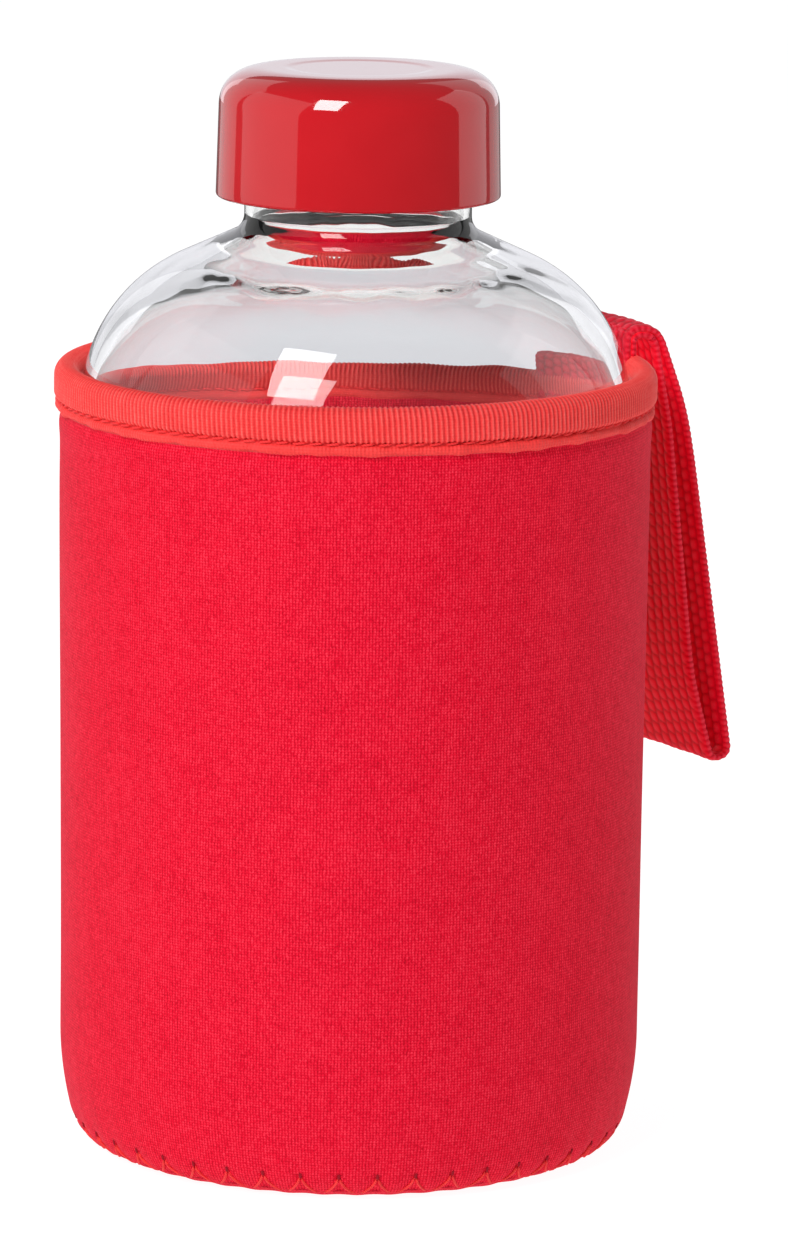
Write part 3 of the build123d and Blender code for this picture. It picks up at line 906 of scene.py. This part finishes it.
def cap_shell(material):
    """The cap's outside, softly rounded into a flat top with a shallow round recess."""
    low, top, under = cap_low.z, cap_high.z, cap_high.z - 2.0
    reach, drop, power = 7.2, 6.0, 2.25
    a = np.linspace(0, math.pi / 2, 26)[1:]
    corner = np.stack([
        CAP_R - 0.35 - reach + reach * np.cos(a) ** (2 / power),
        top - drop + drop * np.sin(a) ** (2 / power),
    ], axis=1)
    inside = CAP_R - 1.9
    ring = RECESS_R + 0.8 * np.array([1.0, 0.6, 0.2, -0.2, -0.6, -1.0])
    step = top - 0.16 * (0.5 - 0.5 * np.cos(np.linspace(0, math.pi, 6)))
    outline = np.concatenate([
        arc((CAP_R - 0.5, low + 0.5), 0.5, -90, 0, 0.12),
        spaced((CAP_R, low + 0.5), (CAP_R - 0.35, top - drop), 1.0),
        corner,
        spaced(corner[-1], (ring[0], top), 0.6)[1:],
        np.stack([ring, step], axis=1),
        spaced((ring[-1] - 0.3, step[-1]), (0.6, step[-1]), 1.2),
        np.array([[0.6, step[-1]], [0.6, under]]),
        spaced((0.8, under), (inside, under), 2.5),
        spaced((inside, under), (inside, low + 0.1), 2.0),
        np.array([[inside + 0.15, low]]),
    ])
    made = turned("cap_red", outline, 288, material)
    close_middle(made, outline, 288)
    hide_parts("cap_shell")
    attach(made, "cap")


# ---- materials of the carried-over nodes ----
def paint(node, material):
    """Gives a carried-over node its material."""
    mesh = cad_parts[node].data
    mesh.materials.clear()
    mesh.materials.append(material)


# ---- room, light and camera ----
def direction(side, elevation):
    """Unit vector towards a place seen side degrees to the right of the camera's own direction."""
    a, e = math.radians(VIEW_AZIMUTH + side), math.radians(elevation)
    return Vector((math.sin(a) * math.cos(e), -math.cos(a) * math.cos(e), math.sin(e)))


def softbox(name, side, elevation, distance, size, radiance):
    """A soft rectangular light of a given brightness; size is (width, height)."""
    lamp = bpy.data.lights.new(name, "AREA")
    lamp.shape = "RECTANGLE"
    lamp.size, lamp.size_y = size
    lamp.energy = radiance * math.pi * size[0] * size[1]
    made = bpy.data.objects.new(name, lamp)
    bpy.context.scene.collection.objects.link(made)
    aim = Vector((0, 0, 0.1))
    made.location = aim + direction(side, elevation) * distance
    made.rotation_euler = (aim - made.location).to_track_quat("-Z", "Y").to_euler()
    return made


def glowing(name, albedo, glow, tint=(1.0, 1.0, 1.0)):
    """A backdrop's white, which gives some light of its own."""
    s = Shader(name)
    s.set(Base_Color=(albedo, albedo, albedo, 1.0), Roughness=1.0, Specular_IOR_Level=0.0)
    s.set(Emission_Color=(*tint, 1.0), Emission_Strength=glow)
    return s.material


def sheet_of(name, section, along, across, half, material):
    """A backdrop: its (depth, height) section, in metres, drawn out to either side."""
    points = []
    for side in (-half, half):
        for depth, height in section:
            points.append(tuple((along * depth + across * side + Vector((0, 0, height))) / MM))
    count = len(section)
    faces = [(i, i + 1, count + i + 1, count + i) for i in range(count - 1)]
    made = mesh_object(name, points, faces, material)
    return made


def room():
    """A pale floor, and a white wall that curves up out of it behind the bottle."""
    back = -direction(0, 0)
    right = direction(90, 0)
    half = 3.0
    white = glowing("floor_white", 0.25, 0.95)
    floor = sheet_of("floor", [(-half, 0.0), (half, 0.0)], back, right, half, white)
    floor.visible_glossy = False
    bend, depth, high = 0.3, 2.9, 1.5
    section = [
        (depth - bend + bend * math.sin(t), 0.002 + bend - bend * math.cos(t))
        for t in np.linspace(0, math.pi / 2, 12)
    ]
    section.append((depth, high))
    sheet_of("wall", section, back, right, 1.7, glowing("wall_white", 0.3, 0.72, (0.94, 0.94, 1.0)))


def light():
    """A window-like key light at the left, soft panels at both sides, and a dim surround."""
    world = bpy.data.worlds.new("world")
    bpy.context.scene.world = world
    world.use_nodes = True
    world.node_tree.nodes["Background"].inputs[0].default_value = (1, 1, 1, 1)
    world.node_tree.nodes["Background"].inputs[1].default_value = 0.13
    softbox("key", -28, 40, 1.2, (0.42, 0.70), 11.0)
    softbox("left_panel", -80, 16, 1.25, (1.5, 1.5), 0.5)
    softbox("left_back_panel", -138, 16, 1.25, (0.9, 1.5), 0.42)
    softbox("right_panel", 108, 16, 1.25, (0.9, 1.5), 0.62)
    softbox("right_back_panel", 148, 16, 1.25, (0.7, 1.5), 0.30)
    bpy.context.scene.view_settings.view_transform = "Standard"


def camera():
    """A long lens at the bottle's upper half, a little above it."""
    distance, height, pitch, roll = 1.1197, 0.2902, 10.561, 0.722
    axis_offset = 0.00632
    lens_per_height = 5.870
    right = direction(90, 0)
    data = bpy.data.cameras.new("camera")
    data.sensor_fit = "VERTICAL"
    data.sensor_height = 36
    data.sensor_width = 36
    data.lens = lens_per_height * data.sensor_height
    data.clip_start = 0.05
    made = bpy.data.objects.new("camera", data)
    bpy.context.scene.collection.objects.link(made)
    made.location = direction(0, 0) * distance + right * axis_offset + Vector((0, 0, height))
    made.rotation_euler = (math.radians(90 - pitch), math.radians(0), math.radians(VIEW_AZIMUTH))
    made.rotation_euler.rotate_axis("Z", math.radians(roll))
    bpy.context.scene.camera = made


camera()
light()
room()
paint("cap_liner", moulded("liner_plastic", (0.80, 0.79, 0.76), 0.35))
paint("cap_gasket", moulded("seal_foam", (0.84, 0.84, 0.82), 0.7))
glass_bottle(clear_glass())
cap_shell(glossy_red())
sleeve_side()
sleeve_base()
base_zigzag()
needle_hole_shade()
rim_binding()
rim_stitches()
side_seam()
strap()
tail_stitches()
